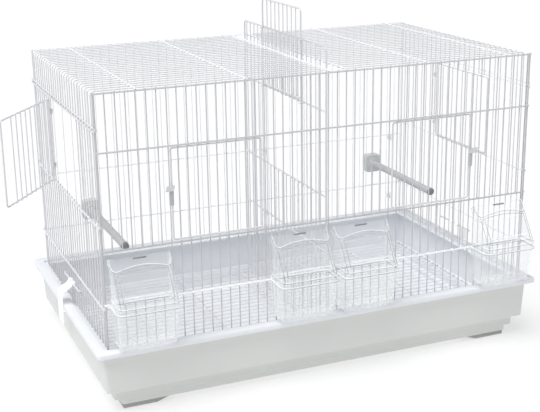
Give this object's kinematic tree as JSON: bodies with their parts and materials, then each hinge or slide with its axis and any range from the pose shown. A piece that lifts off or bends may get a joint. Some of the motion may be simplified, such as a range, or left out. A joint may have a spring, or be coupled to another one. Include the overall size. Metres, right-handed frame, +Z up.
{
  "type": "double breeding bird cage",
  "caption": "White wire double breeding cage on a deep plastic tray, with a lift-out divider, hinged doors, clear feeders and perches.",
  "frame": {"origin": "on the floor under the middle of the tray", "axes": "+X to the right along the front, +Y to the back, +Z up"},
  "size_m": [0.6809, 0.3954, 0.4572],
  "materials": {
    "white_wire": "white powder coat on welded wire",
    "white_plastic": "moulded white plastic",
    "clear_plastic": "clear moulded plastic",
    "dark_rubber": "matt dark grey rubber",
    "grey_plastic": "matt grey plastic",
    "dark_plastic": "matt dark grey plastic",
    "bright_steel": "plain steel screw"
  },
  "bodies": {
    "cage": {"base_tray": "white_plastic", "tray_feet": "dark_rubber", "floor_grate": "white_wire", "front_panel": "white_wire", "back_panel": "white_wire", "left_end_panel": "white_wire", "right_end_panel": "white_wire", "left_top_panel": "white_wire", "right_top_panel": "white_wire", "corner_hooks": "white_wire", "left_perch_rod": "grey_plastic", "right_perch_rod": "grey_plastic", "perch_caps": "dark_plastic", "perch_holders": "dark_plastic", "perch_plates": "grey_plastic", "perch_screws": "bright_steel"},
    "left_front_door": {"left_front_door": "white_wire", "left_door_catch": "white_wire"},
    "right_front_door": {"right_front_door": "white_wire", "right_door_catch": "white_wire"},
    "left_nest_door": {"left_nest_door": "white_wire"},
    "right_nest_door": {"right_nest_door": "white_wire"},
    "divider": {"divider_panel": "white_wire"},
    "divider_door": {"divider_door": "white_wire"},
    "feeder_1": {"feeder_cup_1": "clear_plastic", "feeder_hood_1": "clear_plastic"},
    "feeder_lid_1": {"feeder_lid_1": "clear_plastic"},
    "feeder_2": {"feeder_cup_2": "clear_plastic", "feeder_hood_2": "clear_plastic"},
    "feeder_lid_2": {"feeder_lid_2": "clear_plastic"},
    "feeder_3": {"feeder_cup_3": "clear_plastic", "feeder_hood_3": "clear_plastic"},
    "feeder_lid_3": {"feeder_lid_3": "clear_plastic"},
    "feeder_4": {"feeder_cup_4": "clear_plastic", "feeder_hood_4": "clear_plastic"},
    "feeder_lid_4": {"feeder_lid_4": "clear_plastic"},
    "left_tray_clip": {"left_tray_clip": "white_plastic"},
    "right_tray_clip": {"right_tray_clip": "white_plastic"}
  },
  "joints": [
    {"name": "left_front_door_hinge", "type": "hinge", "parent": "cage", "child": "left_front_door", "pos_m": [-0.084, -0.1677, 0.206], "axis": [0, 0, 1], "range_deg": [0, 95]},
    {"name": "right_front_door_hinge", "type": "hinge", "parent": "cage", "child": "right_front_door", "pos_m": [0.084, -0.1677, 0.206], "axis": [0, 0, -1], "range_deg": [0, 95]},
    {"name": "left_nest_door_hinge", "type": "hinge", "parent": "cage", "child": "left_nest_door", "pos_m": [-0.288, 0.0645, 0.234], "axis": [0, 0, -1], "range_deg": [-37, 73]},
    {"name": "right_nest_door_hinge", "type": "hinge", "parent": "cage", "child": "right_nest_door", "pos_m": [0.288, 0.0645, 0.234], "axis": [0, 0, 1], "range_deg": [0, 110]},
    {"name": "divider_slide", "type": "slide", "parent": "cage", "child": "divider", "axis": [0, 0, 1], "range_m": [0, 0.35]},
    {"name": "divider_door_slide", "type": "slide", "parent": "divider", "child": "divider_door", "axis": [0, 0, -1], "range_m": [0, 0.112]},
    {"name": "feeder_1_slide", "type": "slide", "parent": "cage", "child": "feeder_1", "axis": [0, -1, 0], "range_m": [0, 0.05]},
    {"name": "feeder_lid_1_hinge", "type": "hinge", "parent": "feeder_1", "child": "feeder_lid_1", "pos_m": [-0.246, -0.18899, 0.17934], "axis": [-1, 0, 0], "range_deg": [0, 100]},
    {"name": "feeder_2_slide", "type": "slide", "parent": "cage", "child": "feeder_2", "axis": [0, -1, 0], "range_m": [0, 0.05]},
    {"name": "feeder_lid_2_hinge", "type": "hinge", "parent": "feeder_2", "child": "feeder_lid_2", "pos_m": [-0.042, -0.18899, 0.17934], "axis": [-1, 0, 0], "range_deg": [0, 100]},
    {"name": "feeder_3_slide", "type": "slide", "parent": "cage", "child": "feeder_3", "axis": [0, -1, 0], "range_m": [0, 0.05]},
    {"name": "feeder_lid_3_hinge", "type": "hinge", "parent": "feeder_3", "child": "feeder_lid_3", "pos_m": [0.042, -0.18899, 0.17934], "axis": [-1, 0, 0], "range_deg": [0, 100]},
    {"name": "feeder_4_slide", "type": "slide", "parent": "cage", "child": "feeder_4", "axis": [0, -1, 0], "range_m": [0, 0.05]},
    {"name": "feeder_lid_4_hinge", "type": "hinge", "parent": "feeder_4", "child": "feeder_lid_4", "pos_m": [0.246, -0.18899, 0.17934], "axis": [-1, 0, 0], "range_deg": [0, 100]},
    {"name": "left_tray_clip_hinge", "type": "hinge", "parent": "cage", "child": "left_tray_clip", "pos_m": [-0.2901, 0, 0.112], "axis": [0, 1, 0], "range_deg": [0, 100]},
    {"name": "right_tray_clip_hinge", "type": "hinge", "parent": "cage", "child": "right_tray_clip", "pos_m": [0.2901, 0, 0.112], "axis": [0, -1, 0], "range_deg": [0, 100]}
  ]
}
